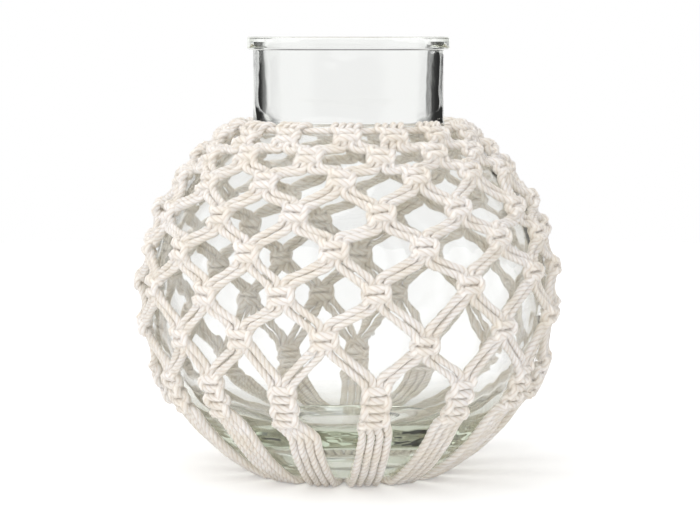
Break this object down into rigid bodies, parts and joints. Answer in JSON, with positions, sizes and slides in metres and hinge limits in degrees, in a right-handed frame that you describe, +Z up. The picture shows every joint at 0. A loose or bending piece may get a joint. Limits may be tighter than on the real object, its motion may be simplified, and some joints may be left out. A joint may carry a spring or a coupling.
{
  "type": "ball vase",
  "caption": "Round clear glass vase with a straight neck and rolled lip, dressed in a knotted net of cream cotton cord that runs from a ring on the shoulder to under the foot.",
  "frame": {"origin": "centre of the foot, on the surface the vase stands on", "axes": "+Z up the vase's axis towards the mouth, -Y towards the front of the picture, +X to its right"},
  "size_m": [0.2142, 0.2138, 0.2165],
  "materials": {
    "clear_glass": "clear hand-blown glass with a faint green tint that deepens in the thick base, fire-polished",
    "cotton_cord": "undyed three-ply twisted cotton, matt and slightly fluffy"
  },
  "bodies": {
    "root": {"glass_vase": "clear_glass", "mounting_ring_cord": "cotton_cord", "gathering_ring_cord": "cotton_cord", "knotting_cord_01": "cotton_cord", "knotting_cord_02": "cotton_cord", "knotting_cord_03": "cotton_cord", "knotting_cord_04": "cotton_cord", "knotting_cord_05": "cotton_cord", "knotting_cord_06": "cotton_cord", "knotting_cord_07": "cotton_cord", "knotting_cord_08": "cotton_cord", "knotting_cord_09": "cotton_cord", "knotting_cord_10": "cotton_cord", "knotting_cord_11": "cotton_cord", "knotting_cord_12": "cotton_cord", "knotting_cord_13": "cotton_cord", "knotting_cord_14": "cotton_cord", "knotting_cord_15": "cotton_cord", "knotting_cord_16": "cotton_cord", "knotting_cord_17": "cotton_cord", "knotting_cord_18": "cotton_cord", "knotting_cord_19": "cotton_cord", "knotting_cord_20": "cotton_cord", "knotting_cord_21": "cotton_cord", "knotting_cord_22": "cotton_cord", "knotting_cord_23": "cotton_cord", "knotting_cord_24": "cotton_cord", "knotting_cord_25": "cotton_cord", "knotting_cord_26": "cotton_cord", "knotting_cord_27": "cotton_cord", "knotting_cord_28": "cotton_cord", "knotting_cord_29": "cotton_cord", "knotting_cord_30": "cotton_cord"}
  },
  "joints": []
}
